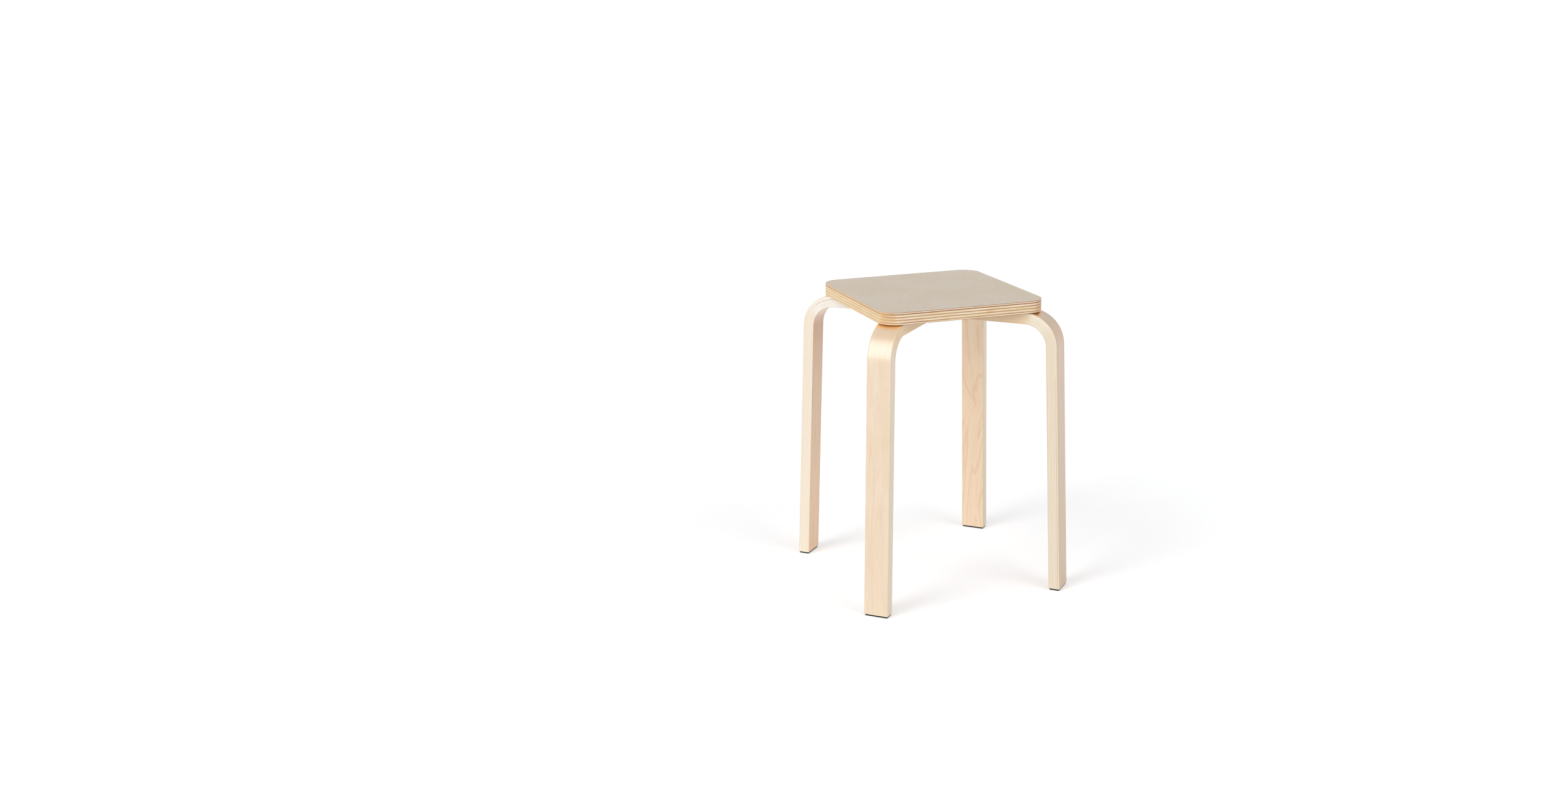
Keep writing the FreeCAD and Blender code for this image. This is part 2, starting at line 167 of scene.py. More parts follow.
# Light: a tall soft box at the left in two halves, a weaker one at the right and a low wide fill
# in front, each as its azimuth, elevation, apparent width in degrees and share of the light on
# a surface that faces it.
LIGHTS = {
    "left_light_upper": (195, 46, 28, 0.185),
    "left_light_lower": (203, 22, 30, 0.22),
    "right_light": (-62, 38, 40, 0.21),
    "front_fill": (238, 4, 50, 0.19),
}
ROOM_LIGHT = 0.46
FLOOR_SIZE = 60
FLOOR_GLOW = 0.305
WHITE = (1, 1, 1, 1)


def colour(red, green, blue):
    """A colour given as it looks on screen, 0 to 255, as linear light."""
    linear = []
    for part in (red, green, blue):
        share = part / 255
        linear.append(share / 12.92 if share <= 0.04045 else ((share + 0.055) / 1.055) ** 2.4)
    return (*linear, 1)


# Meshes


def new_piece(name, mesh, material, slot, *nodes):
    """A piece of the stool on its body, with its finish, in place of the nodes it stands for."""
    piece = bpy.data.objects.new(name, mesh)
    bpy.context.scene.collection.objects.link(piece)
    mesh.materials.append(material)
    mesh.shade_smooth()
    mesh.set_sharp_from_angle(angle=SHARP_ANGLE)
    weighted = piece.modifiers.new("weighted_normals", "WEIGHTED_NORMAL")
    weighted.keep_sharp = True
    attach(piece, "root")
    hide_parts(*nodes)


def mesh_of_rings(name, rings):
    """A closed skin over rings of points, all with as many points, with a flat cap at each end."""
    build = bmesh.new()
    rows = [[build.verts.new(point) for point in ring] for ring in rings]
    for lower, upper in zip(rows, rows[1:]):
        for k in range(len(lower)):
            after = (k + 1) % len(lower)
            build.faces.new((lower[k], lower[after], upper[after], upper[k]))
    build.faces.new(reversed(rows[0]))
    build.faces.new(rows[-1])
    bmesh.ops.recalc_face_normals(build, faces=build.faces)
    mesh = bpy.data.meshes.new(name)
    build.to_mesh(mesh)
    build.free()
    return mesh


def turned_mesh(name, profile, steps=ROUND_STEPS):
    """A solid turned about the Z axis, with a flat cap at each end. The profile is (radius,
    height) pairs."""
    angles = [2 * math.pi * k / steps for k in range(steps)]
    rings = [
        [(radius * math.cos(angle), radius * math.sin(angle), height) for angle in angles]
        for radius, height in profile
    ]
    return mesh_of_rings(name, rings)


def joined(name, meshes):
    """One mesh of several, each with the matrix that puts it in place."""
    build = bmesh.new()
    for mesh, matrix in meshes:
        mesh.transform(matrix)
        build.from_mesh(mesh)
        bpy.data.meshes.remove(mesh)
    mesh = bpy.data.meshes.new(name)
    build.to_mesh(mesh)
    build.free()
    return mesh


def carved(mesh, cutter_mesh):
    """The mesh with the cutter's solids taken out of it, and the points that the cut leaves too
    close together made one."""
    name = mesh.name
    body = bpy.data.objects.new(name + "_blank", mesh)
    cutter = bpy.data.objects.new(name + "_cutter", cutter_mesh)
    for item in (body, cutter):
        bpy.context.scene.collection.objects.link(item)
    cut = body.modifiers.new("cut", "BOOLEAN")
    cut.operation = "DIFFERENCE"
    cut.solver = "EXACT"
    cut.object = cutter
    depsgraph = bpy.context.evaluated_depsgraph_get()
    result = bpy.data.meshes.new_from_object(body.evaluated_get(depsgraph))
    for item in (body, cutter):
        bpy.data.objects.remove(item)
    bpy.data.meshes.remove(mesh)
    bpy.data.meshes.remove(cutter_mesh)
    build = bmesh.new()
    build.from_mesh(result)
    bmesh.ops.remove_doubles(build, verts=build.verts, dist=SHORTEST_EDGE)
    build.to_mesh(result)
    build.free()
    result.name = name
    return result


def round_corners(half_x, half_y, radius, steps, support=0.0):
    """Points round a rectangle with round corners, anticlockwise. Support adds a point on each
    straight, that far from the corner, which keeps the straights flat in the shading."""
    points = []
    middles = ((1, 1), (-1, 1), (-1, -1), (1, -1))
    for quarter, (side_x, side_y) in enumerate(middles):
        middle = Vector((side_x * (half_x - radius), side_y * (half_y - radius)))
        start = math.pi / 2 * quarter
        end = start + math.pi / 2
        first = middle + radius * Vector((math.cos(start), math.sin(start)))
        last = middle + radius * Vector((math.cos(end), math.sin(end)))
        if support:
            points.append(first - support * Vector((-math.sin(start), math.cos(start))))
        for k in range(steps + 1):
            angle = start + (end - start) * k / steps
            points.append(middle + radius * Vector((math.cos(angle), math.sin(angle))))
        if support:
            points.append(last + support * Vector((-math.sin(end), math.cos(end))))
    return points


def easing(radius):
    """A rounded rim as (inset, advance) pairs, from the flat end to the side."""
    turns = [math.pi / 2 * k / EDGE_STEPS for k in range(EDGE_STEPS + 1)]
    return [(radius * (1 - math.sin(turn)), radius * (1 - math.cos(turn))) for turn in turns]


def slab_mesh(name, half_x, half_y, radius, low, high, low_arris, high_arris, steps=CORNER_STEPS):
    """A flat layer with round corners in plan, its lower and upper rims eased."""
    levels = [(inset, low + advance) for inset, advance in easing(low_arris)]
    levels += [(inset, high - advance) for inset, advance in reversed(easing(high_arris))]
    levels.insert(0, (low_arris + SUPPORT, low))
    levels.append((high_arris + SUPPORT, high))
    rings = []
    for inset, height in levels:
        plan = round_corners(half_x - inset, half_y - inset, radius - inset, steps)
        rings.append([(point.x, point.y, height) for point in plan])
    return mesh_of_rings(name, rings)


def turn_to(degrees, reach=0.0, height=0.0):
    """Puts what is built round the origin at a reach and height, and turns it to a corner."""
    return Matrix.Rotation(math.radians(degrees), 4, "Z") @ Matrix.Translation((reach, 0, height))


# The seat


def insert_hole_cutter():
    """A hexagon prism for each threaded insert, from below the seat up to the holes' ends."""
    radius = INSERT_WIDTH / math.sqrt(3)
    profile = [
        (radius, BACKING_LOW.z - CUTTER_PAST),
        (radius, BACKING_LOW.z + INSERT_HOLE_DEPTH),
    ]
    prisms = []
    for degrees in CORNERS.values():
        for reach in BOLT_REACHES:
            prisms.append((turned_mesh("hole", profile, steps=HEXAGON), turn_to(degrees, reach)))
    return joined("insert_holes", prisms)


def seat_layer(name, low, high, low_arris, high_arris):
    return slab_mesh(
        name, SEAT_HALF_WIDTH, SEAT_HALF_WIDTH, SEAT_CORNER_RADIUS, low, high, low_arris, high_arris
    )


def make_seat(finishes):
    sheet = seat_layer("seat_sheet", SHEET_LOW.z, SHEET_HIGH.z, HIDDEN_ARRIS, SHEET_ARRIS)
    board = seat_layer("seat_plies", BOARD_LOW.z, BOARD_HIGH.z, HIDDEN_ARRIS, HIDDEN_ARRIS)
    backing = seat_layer(
        "seat_back_veneer", BACKING_LOW.z, BACKING_HIGH.z, BACKING_ARRIS, HIDDEN_ARRIS
    )
    board = carved(board, insert_hole_cutter())
    backing = carved(backing, insert_hole_cutter())
    new_piece("seat_sheet", sheet, finishes["seat_sheet"], "seat_sheet", "seat_top_sheet")
    new_piece("seat_plies", board, finishes["seat_plywood"], "seat_plywood", "seat_board")
    new_piece(
        "seat_back_veneer", backing, finishes["seat_backing"], "seat_backing", "seat_backing_sheet"
    )


# The legs


def on_sweep(across, depth, turn, forward):
    """A point of the bent leg: turn is the way its outer face looks, from level to straight up,
    and forward is how far past that place it lies, towards the arm."""
    outwards = Vector((math.cos(turn), 0, math.sin(turn)))
    onwards = Vector((-math.sin(turn), 0, math.cos(turn)))
    bend = Vector((BEND_REACH, 0, BEND_Z))
    return bend + (MIDDLE_RADIUS + depth) * outwards + forward * onwards + Vector((0, across, 0))


def on_level(across, depth, rise):
    """A point of the splayed upright at a rise above the level cut of its foot."""
    drop = BEND_Z + (MIDDLE_RADIUS + depth) * math.sin(LEG_SPLAY) - FOOT_Z - rise
    return on_sweep(across, depth, LEG_SPLAY, -drop / math.cos(LEG_SPLAY))


def leg_section(inset=0.0):
    """Points round the leg's section as (across, depth), outer face at the greatest depth."""
    return round_corners(
        LEG_WIDTH / 2 - inset,
        LEG_THICKNESS / 2 - inset,
        LEG_EDGE_RADIUS - inset,
        EDGE_STEPS,
        support=SUPPORT,
    )


def leg_blank(name):
    """The leg before its holes, in the plane of its corner."""
    section = leg_section()
    rounding = easing(LEG_END_RADIUS)
    rings = []
    for inset, rise in rounding:
        rings.append([on_level(*point, rise) for point in leg_section(inset)])
    rings.append([on_level(*point, LEG_END_RADIUS + SUPPORT) for point in section])
    rings.append([on_sweep(*point, LEG_SPLAY, -SUPPORT) for point in section])
    for k in range(LEG_BEND_STEPS + 1):
        turn = LEG_SPLAY + (math.pi / 2 - LEG_SPLAY) * k / LEG_BEND_STEPS
        rings.append([on_sweep(*point, turn, 0) for point in section])
    rings.append([on_sweep(*point, math.pi / 2, SUPPORT) for point in section])
    last_straight = ARM_LENGTH - LEG_END_RADIUS - SUPPORT
    rings.append([on_sweep(*point, math.pi / 2, last_straight) for point in section])
    for inset, back in reversed(rounding):
        rings.append(
            [on_sweep(*point, math.pi / 2, ARM_LENGTH - back) for point in leg_section(inset)]
        )
    return mesh_of_rings(name, rings)


def bolt_hole_cutter():
    """A counterbore with a shank hole above it for each bolt of an arm."""
    mouth = ARM_UNDERSIDE_Z
    floor = mouth + COUNTERBORE_DEPTH
    profile = [
        (COUNTERBORE_RADIUS + COUNTERBORE_ARRIS + CUTTER_PAST, mouth - CUTTER_PAST),
        (COUNTERBORE_RADIUS, mouth + COUNTERBORE_ARRIS),
        (COUNTERBORE_RADIUS, floor),
        (SHANK_HOLE_RADIUS, floor),
        (SHANK_HOLE_RADIUS, ARM_TOP_Z + CUTTER_PAST),
    ]
    holes = [(turned_mesh("hole", profile), turn_to(0, reach)) for reach in BOLT_REACHES]
    return joined("bolt_holes", holes)


def place_in_leg(point):
    """Where a point lies in the bent wood: along the leg from its foot, across it, and outwards
    from the middle of its thickness."""
    from_bend = Vector((point.x - BEND_REACH, point.z - BEND_Z))
    upright = Vector((-math.sin(LEG_SPLAY), math.cos(LEG_SPLAY)))
    outwards = Vector((math.cos(LEG_SPLAY), math.sin(LEG_SPLAY)))
    if from_bend.dot(upright) < 0:
        return (
            UPRIGHT_LENGTH + from_bend.dot(upright),
            point.y,
            from_bend.dot(outwards) - MIDDLE_RADIUS,
        )
    if from_bend.x < 0:
        return (BEND_END - from_bend.x, point.y, from_bend.y - MIDDLE_RADIUS)
    turn = math.atan2(from_bend.y, from_bend.x) - LEG_SPLAY
    return (UPRIGHT_LENGTH + MIDDLE_RADIUS * turn, point.y, from_bend.length - MIDDLE_RADIUS)


def make_leg(corner, degrees, material):
    name = corner + "_bent_leg"
    mesh = carved(leg_blank(name), bolt_hole_cutter())
    places = mesh.attributes.new("place", "FLOAT_VECTOR", "POINT")
    for vertex, place in zip(mesh.vertices, places.data):
        place.vector = place_in_leg(vertex.co)
    mesh.transform(turn_to(degrees))
    new_piece(name, mesh, material, "leg_laminate", corner + "_leg")


def make_foot_pad(corner, degrees, material):
    name = corner + "_pad"
    mesh = slab_mesh(
        name,
        FOOT_DEPTH / 2 - PAD_INSET,
        LEG_WIDTH / 2 - PAD_INSET,
        PAD_CORNER_RADIUS,
        PAD_LOW.z,
        FOOT_Z,
        PAD_LOW_ARRIS,
        PAD_HIGH_ARRIS,
        PAD_CORNER_STEPS,
    )
    mesh.transform(turn_to(degrees, FOOT_REACH - FOOT_DEPTH / 2))
    new_piece(name, mesh, material, "foot_pad", corner + "_foot_pad")


def bolt_mesh(name):
    """A wide-headed bolt, head down, with its origin at the middle of the head's face."""
    length = BOLT_HIGH.z - BOLT_LOW.z
    root_radius = BOLT_SHANK_RADIUS - THREAD_DEPTH
    profile = [(BOLT_HEAD_RADIUS - BOLT_RIM_RADIUS - SUPPORT, 0)]
    profile += [(BOLT_HEAD_RADIUS - inset, rise) for inset, rise in easing(BOLT_RIM_RADIUS)]
    profile += [
        (BOLT_HEAD_RADIUS, BOLT_HEAD_HEIGHT - BOLT_HEAD_ARRIS),
        (BOLT_HEAD_RADIUS - BOLT_HEAD_ARRIS, BOLT_HEAD_HEIGHT),
        (root_radius, BOLT_HEAD_HEIGHT),
    ]
    turns = int((length - BOLT_HEAD_HEIGHT) / THREAD_PITCH) - 1
    for turn in range(turns):
        start = BOLT_HEAD_HEIGHT + (turn + 0.5) * THREAD_PITCH
        profile.append((root_radius, start))
        profile += [(BOLT_SHANK_RADIUS, start + rise) for rise in THREAD_CREST]
    profile.append((root_radius, length - THREAD_END))
    profile.append((root_radius - THREAD_DEPTH, length))
    socket_radius = SOCKET_WIDTH / math.sqrt(3)
    socket_profile = [
        (socket_radius + SOCKET_ARRIS + CUTTER_PAST, -CUTTER_PAST),
        (socket_radius, SOCKET_ARRIS),
        (socket_radius, SOCKET_DEPTH),
        (SOCKET_POINT_RADIUS, SOCKET_DEPTH + SOCKET_POINT_DEPTH),
    ]
    return carved(turned_mesh(name, profile), turned_mesh("socket", socket_profile, steps=HEXAGON))


def make_bolt(corner, degrees, place, reach, material):
    name = f"{corner}_wide_head_bolt_{place}"
    mesh = bolt_mesh(name)
    mesh.transform(turn_to(degrees, reach, BOLT_LOW.z))
    new_piece(name, mesh, material, "bolt_steel", f"{corner}_bolt_{place}")


# Materials


class Graph:
    """The nodes of a material or of the world."""

    def __init__(self, tree):
        self.tree = tree

    def node(self, kind, **settings):
        made = self.tree.nodes.new("ShaderNode" + kind)
        for name, value in settings.items():
            setattr(made, name, value)
        return made

    def feed(self, socket, value):
        if isinstance(value, bpy.types.NodeSocket):
            self.tree.links.new(value, socket)
        else:
            socket.default_value = value

    def math(self, operation, *values):
        made = self.node("Math", operation=operation)
        for socket, value in zip(made.inputs, values):
            self.feed(socket, value)
        return made.outputs[0]

    def times(self, first, second):
        return self.math("MULTIPLY", first, second)

    def step(self, value, start, end):
        """0 where the value is at the start or before it, 1 at the end, and smooth between."""
        made = self.node("MapRange", interpolation_type="SMOOTHSTEP")
        for name, given in (("Value", value), ("From Min", start), ("From Max", end)):
            self.feed(made.inputs[name], given)
        return made.outputs["Result"]

    def between(self, value, low, high):
        """A value of 0 to 1 spread from low to high."""
        return self.math("MULTIPLY_ADD", value, high - low, low)

    def vector(self, x, y, z):
        made = self.node("CombineXYZ")
        for socket, value in zip(made.inputs, (x, y, z)):
            self.feed(socket, value)
        return made.outputs[0]

    def parts(self, vector):
        made = self.node("SeparateXYZ")
        self.feed(made.inputs[0], vector)
        return made.outputs[:3]

    def scaled(self, vector, *scales):
        made = self.node("VectorMath", operation="MULTIPLY")
        self.feed(made.inputs[0], vector)
        made.inputs[1].default_value = scales
        return made.outputs[0]

    def noise(self, vector, detail=2):
        """Noise with one feature about every unit of the vector, from 0 to 1."""
        made = self.node("TexNoise")
        self.feed(made.inputs["Vector"], vector)
        made.inputs["Scale"].default_value = 1
        made.inputs["Detail"].default_value = detail
        return made.outputs[0]

    def chance(self, *values):
        """A number from 0 to 1 that stays the same for the same values."""
        made = self.node("TexWhiteNoise", noise_dimensions="3D")
        self.feed(made.inputs["Vector"], self.vector(*values))
        return made.outputs["Value"]

    def mix(self, share, first, second, kind="MIX"):
        made = self.node("Mix", data_type="RGBA", blend_type=kind)
        self.feed(made.inputs[0], share)
        self.feed(made.inputs[6], first)
        self.feed(made.inputs[7], second)
        return made.outputs[2]

    def shade(self, share, base, tint):
        """The base, multiplied by a tint where the share is 1."""
        return self.mix(share, base, (*tint, 1), kind="MULTIPLY")

    def place(self):
        """Where a point is in the stool's frame."""
        return self.node("TexCoord").outputs["Object"]

    def facing(self):
        """The X, Y and Z parts of the way a face looks."""
        return self.parts(self.node("NewGeometry").outputs["Normal"])

    def seen_directly(self):
        """1 for rays from the camera, and for what gloss and glass show."""
        path = self.node("LightPath").outputs
        seen = self.math("MAXIMUM", path["Is Camera Ray"], path["Is Glossy Ray"])
        return self.math("MAXIMUM", seen, path["Is Transmission Ray"])


class Recipe(Graph):
    """The nodes of one material."""

    def __init__(self, name):
        self.material = bpy.data.materials.new(name)
        self.material.use_nodes = True
        super().__init__(self.material.node_tree)
        self.surface = self.tree.nodes["Principled BSDF"]

    def bump(self, height, distance, strength):
        made = self.node("Bump")
        self.feed(made.inputs["Height"], height)
        made.inputs["Distance"].default_value = distance
        made.inputs["Strength"].default_value = strength
        self.feed(self.surface.inputs["Normal"], made.outputs[0])

    def finish(self, base, roughness, plain=None):
        """Sets the shader: a colour, a roughness, and sockets that are the same all over."""
        self.feed(self.surface.inputs["Base Color"], base)
        self.feed(self.surface.inputs["Roughness"], roughness)
        for name, value in (plain or {}).items():
            self.surface.inputs[name].default_value = value
        return self.material


def leg_laminate(
    name, seed, face, side, bend_side, arm_side_light_and_shade, bend_inside_light_and_shade, bend_outside_painted_shade, figure, lines, knot
):
    """Lacquered birch: veneers bent over a form and glued. The broad faces show one veneer with
    straight grain and a faint figure, and the sides show the veneers' edges. The sides have a
    colour for the upright, one for the bend and one for the arm, which holds painted light and
    shade from under the seat. The inner face takes a painted light and shade in the bend, and the
    outer face a painted shade up the bend and a warm painted shade right under the seat's rim. A
    line is a glue line that shows, as its joint counted from the inner face, the stretch of the
    leg where it shows and its strength. A knot is its place along the leg, how far it pushes the
    grain sideways, and over what length."""
    wood = Recipe(name)
    in_leg = wood.node("Attribute", attribute_name="place").outputs["Vector"]
    along, across, depth = wood.parts(in_leg)
    seeded = wood.math("ADD", along, 3.7 * seed)

    # Grain lines wander a little from side to side, and run round a knot.
    wander = wood.noise(wood.vector(wood.times(seeded, 7), seed, 0), detail=1)
    flow = wood.math("ADD", across, wood.between(wander, -GRAIN_WANDER, GRAIN_WANDER))
    if knot:
        knot_place, push, spread = knot
        off = wood.math("ABSOLUTE", wood.math("SUBTRACT", along, knot_place))
        bulge = wood.math("EXPONENT", wood.math("DIVIDE", off, -spread))
        flow = wood.math("MULTIPLY_ADD", bulge, push, flow)
    grain = wood.vector(seeded, flow, depth)

    fibres = wood.noise(wood.scaled(grain, 55, 1500, 1500), detail=3)
    streaks = wood.noise(wood.scaled(grain, 9, 240, 240))
    field = wood.noise(wood.scaled(grain, 4.5, 42, 20), detail=1)
    rings = wood.step(wood.math("SINE", wood.times(field, 46)), 0.5, 1.0)
    flecks = wood.step(wood.noise(wood.scaled(grain, 420, 3200, 3200), detail=1), 0.66, 0.74)
    mottle = wood.step(wood.noise(wood.scaled(grain, 14, 45, 45)), 0.3, 0.7)

    broad = wood.shade(mottle, colour(*face), (0.975, 0.95, 0.925))
    broad = wood.shade(wood.step(streaks, 0.35, 0.7), broad, (0.975, 0.955, 0.93))
    broad = wood.shade(wood.times(rings, figure), broad, (0.82, 0.70, 0.58))
    broad = wood.shade(wood.step(fibres, 0.4, 0.75), broad, (0.96, 0.93, 0.90))
    broad = wood.shade(wood.times(flecks, 0.5), broad, (0.80, 0.68, 0.55))
    # Painted light and shade on the inner face at the top of the upright, under the seat.
    painted_inside_share = wood.times(
        wood.step(along, UPRIGHT_LENGTH - 60 * MM, UPRIGHT_LENGTH),
        wood.step(depth, 0, -LEG_THICKNESS / 2),
    )
    broad = wood.shade(painted_inside_share, broad, bend_inside_light_and_shade)

    # The veneers, counted from the inner face. Each has its own tone on the side of the leg.
    waver = wood.noise(wood.vector(wood.times(seeded, 9), across, seed), detail=1)
    level = wood.math("ADD", depth, wood.between(waver, -LAYER_WAVER, LAYER_WAVER))
    count = wood.math("DIVIDE", wood.math("ADD", level, LEG_THICKNESS / 2), VENEER)
    layer = wood.math("FLOOR", count)
    joint = wood.math("ROUND", count)
    from_glue = wood.times(wood.math("PINGPONG", count, 0.5), VENEER)
    bent = wood.step(along, UPRIGHT_LENGTH + 14 * MM, UPRIGHT_LENGTH + 38 * MM)
    tone = wood.step(wood.chance(layer, seed, 0.5), 0.3, 0.8)
    tone = wood.times(tone, wood.between(bent, 0.4, 1.0))
    drift = wood.vector(wood.times(seeded, 2.5), seed, wood.times(level, 330))
    bands = wood.step(wood.noise(drift, detail=1), 0.35, 0.65)
    edge_grain = wood.scaled(wood.vector(seeded, across, level), 60, 900, 2200)
    edge_fibres = wood.noise(edge_grain, detail=3)
    # The arm's side colour holds painted light and shade from under the seat.
    in_arm = wood.step(along, BEND_END - 16 * MM, BEND_END + 4 * MM)
    narrow = wood.mix(bent, colour(*side), colour(*bend_side))
    narrow = wood.mix(in_arm, narrow, colour(*arm_side_light_and_shade))
    narrow = wood.shade(tone, narrow, (0.955, 0.92, 0.855))
    narrow = wood.shade(bands, narrow, (0.98, 0.97, 0.935))
    narrow = wood.shade(wood.step(edge_fibres, 0.4, 0.75), narrow, (0.98, 0.965, 0.93))

    # Most glue lines hardly show. A few do, over a stretch of the leg.
    patches = wood.noise(wood.vector(wood.times(seeded, 14), wood.times(joint, 5.3), seed))
    shown = wood.times(wood.step(patches, 0.36, 0.66), wood.chance(joint, seed, 3.5))
    shown = wood.times(shown, 0.22)
    for line_joint, start, end, strength in lines:
        stretch = wood.times(
            wood.step(along, start, start + LINE_FADE),
            wood.step(along, end, end - LINE_FADE),
        )
        this_line = wood.times(wood.math("COMPARE", joint, line_joint, 0.1), strength)
        shown = wood.math("MAXIMUM", shown, wood.times(stretch, this_line))
    glue = wood.times(wood.step(from_glue, 0.42 * MM, 0.04 * MM), shown)
    narrow = wood.mix(glue, narrow, colour(*GLUE_COLOUR))

    # The outer veneer's own face shows only on the broad faces.
    skin = wood.math("ABSOLUTE", depth)
    on_face = wood.step(skin, LEG_THICKNESS / 2 - 0.7 * MM, LEG_THICKNESS / 2 - 0.12 * MM)
    base = wood.mix(on_face, narrow, broad)

    # The outer face gets a painted shade up the bend, and a warm painted shade right under the
    # seat's rim.
    outside = wood.times(
        wood.step(depth, LEG_THICKNESS / 2 - 0.8 * MM, LEG_THICKNESS / 2 - 0.1 * MM),
        wood.step(wood.math("ABSOLUTE", across), LEG_WIDTH / 2 - 0.4 * MM, LEG_WIDTH / 2 - 2 * MM),
    )
    # upper is where the painted shade up the bend lies, amber where the warm painted shade lies.
    upper = wood.step(along, SEAT_RIM_ALONG - 30 * MM, SEAT_RIM_ALONG - 14 * MM)
    amber = wood.step(along, SEAT_RIM_ALONG - 7 * MM, SEAT_RIM_ALONG + 3 * MM)
    base = wood.shade(wood.times(upper, outside), base, bend_outside_painted_shade)
    base = wood.shade(wood.times(amber, outside), base, WARM_SHADE_TINT)

    relief = wood.math("MULTIPLY_ADD", fibres, 0.6, wood.times(streaks, 0.4))
    relief = wood.math("SUBTRACT", relief, wood.times(glue, 0.8))
    wood.bump(relief, 0.05 * MM, 0.5)
    roughness = wood.between(fibres, 0.34, 0.56)
    lacquer = {"Coat Weight": 1.0, "Coat Roughness": 0.24, "Coat IOR": 1.6}
    return wood.finish(base, roughness, lacquer)


def seat_plywood():
    """Nine plies, the grain of each crossing the next. A ply looks pale where its grain runs
    along the edge and brown where the edge cuts across its grain, most on the front edge."""
    wood = Recipe("seat_plywood")
    place = wood.place()
    x, y, z = wood.parts(place)
    facing = wood.facing()
    cut_x = wood.math("POWER", wood.math("ABSOLUTE", facing[0]), 4)

    # Plies are counted from the top. Even ones are pale, and take more than half of the edge.
    waver = wood.noise(wood.scaled(place, 14, 14, 3))
    level = wood.math("ADD", z, wood.between(waver, -LAYER_WAVER, LAYER_WAVER))
    first_ply_top = BOARD_HIGH.z - FACE_PLY + INNER_PLY
    count = wood.math("DIVIDE", wood.math("SUBTRACT", first_ply_top, level), INNER_PLY)
    layer = wood.math("FLOOR", count)
    pale_share = wood.math("PINGPONG", wood.math("ADD", count, 0.5), 1.0)
    ragged = wood.noise(wood.scaled(place, 130, 130, 700))
    pale_share = wood.math("ADD", pale_share, wood.between(ragged, -0.12, 0.12))
    crossing = wood.step(pale_share, 0.48, 0.30)
    by_ply = wood.vector(wood.times(x, 15), wood.times(y, 15), wood.times(layer, 9.1))
    tone = wood.step(wood.noise(by_ply, detail=1), 0.36, 0.64)

    fibre_x = wood.noise(wood.scaled(place, 30, 1800, 2600), detail=3)
    fibre_y = wood.noise(wood.scaled(place, 1800, 30, 2600), detail=3)
    pores = wood.noise(wood.scaled(place, 2400, 2400, 3200))
    blotches = wood.noise(wood.scaled(place, 45, 45, 260))
    pale = wood.mix(tone, colour(246, 232, 211), colour(240, 220, 188))
    pale = wood.mix(cut_x, pale, colour(244, 221, 181))
    pale = wood.shade(wood.step(fibre_x, 0.35, 0.75), pale, (0.95, 0.90, 0.82))
    both_ways = wood.math("ABSOLUTE", wood.times(facing[0], facing[1]))
    pale = wood.shade(wood.step(both_ways, 0.2, 0.45), pale, (0.89, 0.76, 0.60))
    brown = wood.mix(tone, colour(192, 144, 102), colour(201, 166, 118))
    first_brown = wood.step(z, BOARD_HIGH.z - 4.2 * MM, BOARD_HIGH.z - 3.4 * MM)
    brown = wood.shade(first_brown, brown, (0.72, 0.61, 0.58))
    brown = wood.mix(cut_x, brown, colour(226, 196, 149))
    pore_share = wood.times(wood.step(pores, 0.4, 0.7), wood.between(cut_x, 0.9, 0.2))
    brown = wood.shade(pore_share, brown, (0.84, 0.77, 0.68))
    long_cut = wood.times(wood.step(fibre_y, 0.35, 0.75), cut_x)
    brown = wood.shade(long_cut, brown, (0.94, 0.89, 0.80))
    base = wood.mix(crossing, pale, brown)
    base = wood.shade(wood.step(blotches, 0.42, 0.75), base, (0.93, 0.86, 0.77))
    from_glue = wood.times(wood.math("PINGPONG", count, 0.5), INNER_PLY)
    line = wood.step(from_glue, 0.30 * MM, 0.05 * MM)
    line_share = wood.times(line, wood.between(blotches, 0.0, 0.8))
    base = wood.shade(line_share, base, (0.72, 0.58, 0.45))

    # The glue under the sheet shows as a brown line. On the sides it has soaked through the
    # thin face ply, which is amber there, into the ply under it.
    face_amber = wood.step(z, BOARD_HIGH.z - 1.9 * MM, BOARD_HIGH.z - 1.1 * MM)
    soaked_below = wood.step(z, BOARD_HIGH.z - 3.9 * MM, BOARD_HIGH.z - 3.0 * MM)
    soaked_above = wood.step(z, BOARD_HIGH.z - 1.3 * MM, BOARD_HIGH.z - 2.2 * MM)
    soaked = wood.times(soaked_below, soaked_above)
    base = wood.mix(wood.times(face_amber, cut_x), base, colour(226, 194, 150))
    base = wood.mix(wood.times(soaked, cut_x), base, colour(196, 147, 95))
    thin = wood.step(z, BOARD_HIGH.z - 0.45 * MM, BOARD_HIGH.z - 0.1 * MM)
    thin_share = wood.times(thin, wood.between(cut_x, 0.8, 0.3))
    base = wood.mix(thin_share, base, colour(198, 146, 96))
    relief = wood.math("MULTIPLY_ADD", pores, 0.5, wood.times(line, -0.6))
    wood.bump(relief, 0.08 * MM, 0.6)
    roughness = wood.between(pores, 0.42, 0.62)
    return wood.finish(base, roughness, {"Coat Weight": 0.15, "Coat Roughness": 0.35})


